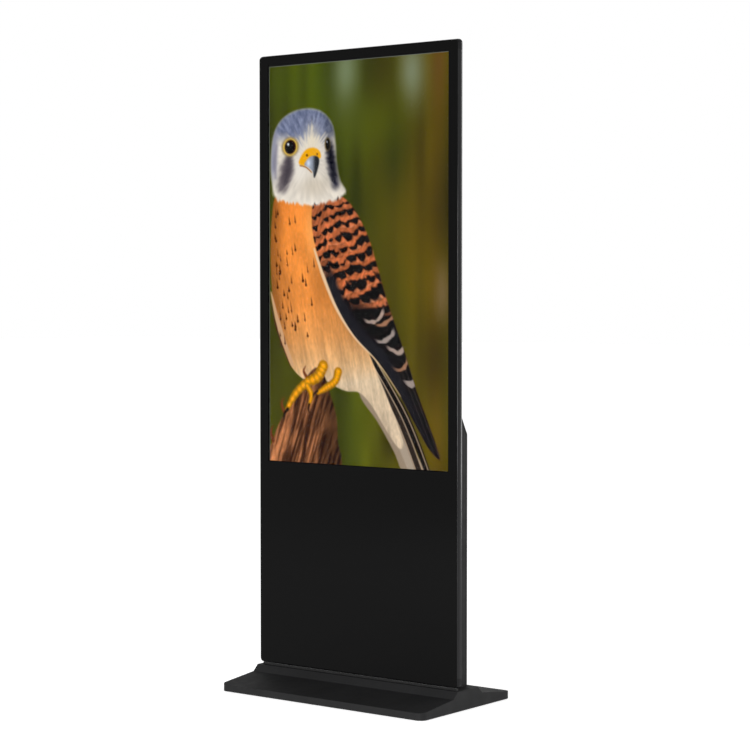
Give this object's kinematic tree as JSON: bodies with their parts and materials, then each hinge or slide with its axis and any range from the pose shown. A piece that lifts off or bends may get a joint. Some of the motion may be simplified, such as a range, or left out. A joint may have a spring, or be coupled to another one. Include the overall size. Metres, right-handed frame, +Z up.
{
  "type": "touchscreen kiosk",
  "caption": "Free-standing portrait touchscreen kiosk: full-height glass front in a slim frame, deeper rear cabinet with a locking service door, and a low ramped base.",
  "frame": {"origin": "middle of the base at floor level, under the rubber feet", "axes": "+Z up, the glass faces -Y, +X to the right of someone who faces the glass"},
  "size_m": [0.765, 0.447, 1.942],
  "materials": {
    "black_sheet_steel": "fine-textured satin powder coat",
    "ballast_steel": "dark grey primer",
    "rubber": "matte",
    "plated_steel": "zinc plated",
    "black_screws": "black oxide",
    "upright_steel": "black powder coat",
    "frame_aluminium": "black satin anodised",
    "plain_aluminium": "mill finish",
    "front_glass": "polished, black printed back",
    "glass_tape": "matte",
    "liner_steel": "matte black",
    "display_cell": "glossy, lit picture",
    "diffuser_film": "matte white",
    "clear_acrylic": "polished",
    "led_strip": "white solder mask with yellow emitters",
    "green_board": "green solder mask",
    "blue_board": "blue solder mask",
    "cable_jacket": "matte",
    "black_plastic": "moulded, matte",
    "speaker_paper": "matte",
    "pin_brass": "plated",
    "red_plastic": "glossy",
    "socket_steel": "nickel plated",
    "lock_chrome": "bright"
  },
  "bodies": {
    "kiosk": {"base_plate": "ballast_steel", "base_cover": "black_sheet_steel", "base_feet": "rubber", "base_screws": "plated_steel", "upright_left": "upright_steel", "upright_right": "upright_steel", "upright_bolts": "plated_steel", "plinth_gasket": "rubber", "frame_left": "frame_aluminium", "frame_right": "frame_aluminium", "frame_top": "frame_aluminium", "frame_bottom": "frame_aluminium", "corner_caps": "frame_aluminium", "corner_brackets": "plain_aluminium", "front_glass": "front_glass", "glass_tape": "glass_tape", "lower_liner": "liner_steel", "lcd_gasket": "rubber", "lcd_bezel": "plated_steel", "lcd_cell": "display_cell", "optical_films": "diffuser_film", "light_guide": "clear_acrylic", "led_bars": "led_strip", "lcd_tray": "plain_aluminium", "display_rails": "plated_steel", "tcon_board": "green_board", "rear_cover": "black_sheet_steel", "cabinet_side_left": "black_sheet_steel", "cabinet_side_right": "black_sheet_steel", "cabinet_bottom": "black_sheet_steel", "back_panel": "black_sheet_steel", "cover_screws": "black_screws", "component_plate": "plated_steel", "media_board": "green_board", "heat_sink": "plain_aluminium", "power_supply": "plain_aluminium", "touch_controller": "blue_board", "internal_wiring": "cable_jacket", "speaker_boxes": "black_plastic", "speaker_cones": "speaker_paper", "fan_housing_left": "black_plastic", "fan_housing_right": "black_plastic", "io_plate": "plated_steel", "mains_inlet": "black_plastic", "inlet_pins": "pin_brass", "switch_body": "black_plastic", "button_housing": "socket_steel", "lan_socket": "socket_steel", "data_sockets": "socket_steel", "hinge_fixed_leaves": "black_sheet_steel", "hinge_pins": "plated_steel", "lock_strike": "plated_steel"},
    "door": {"service_door": "black_sheet_steel", "hinge_door_leaves": "black_sheet_steel", "lock_body": "lock_chrome"},
    "lock": {"lock_plug": "lock_chrome"},
    "mains_rocker": {"switch_rocker": "red_plastic"},
    "fan_left": {"fan_rotor_left": "black_plastic"},
    "fan_right": {"fan_rotor_right": "black_plastic"},
    "button": {"standby_button": "socket_steel"}
  },
  "joints": [
    {"name": "door_hinge", "type": "hinge", "parent": "kiosk", "child": "door", "pos_m": [0.251, 0.0488, 0.37], "axis": [0, 0, -1], "range_deg": [0, 110]},
    {"name": "lock_turn", "type": "hinge", "parent": "door", "child": "lock", "pos_m": [-0.222, 0.045, 0.37], "axis": [0, 1, 0], "range_deg": [0, 90]},
    {"name": "mains_switch", "type": "hinge", "parent": "kiosk", "child": "mains_rocker", "pos_m": [0.062, 0.0405, 0.104], "axis": [1, 0, 0], "range_deg": [-18, 0]},
    {"name": "fan_left_spin", "type": "hinge", "parent": "kiosk", "child": "fan_left", "pos_m": [-0.12, 0.03, 0.715], "axis": [0, 1, 0], "continuous": true},
    {"name": "fan_right_spin", "type": "hinge", "parent": "kiosk", "child": "fan_right", "pos_m": [0.12, 0.03, 0.715], "axis": [0, 1, 0], "continuous": true},
    {"name": "button_push", "type": "slide", "parent": "kiosk", "child": "button", "axis": [0, -1, 0], "range_m": [0, 0.0015], "stiffness_N_per_m": 200, "springref_m": -0.001}
  ]
}
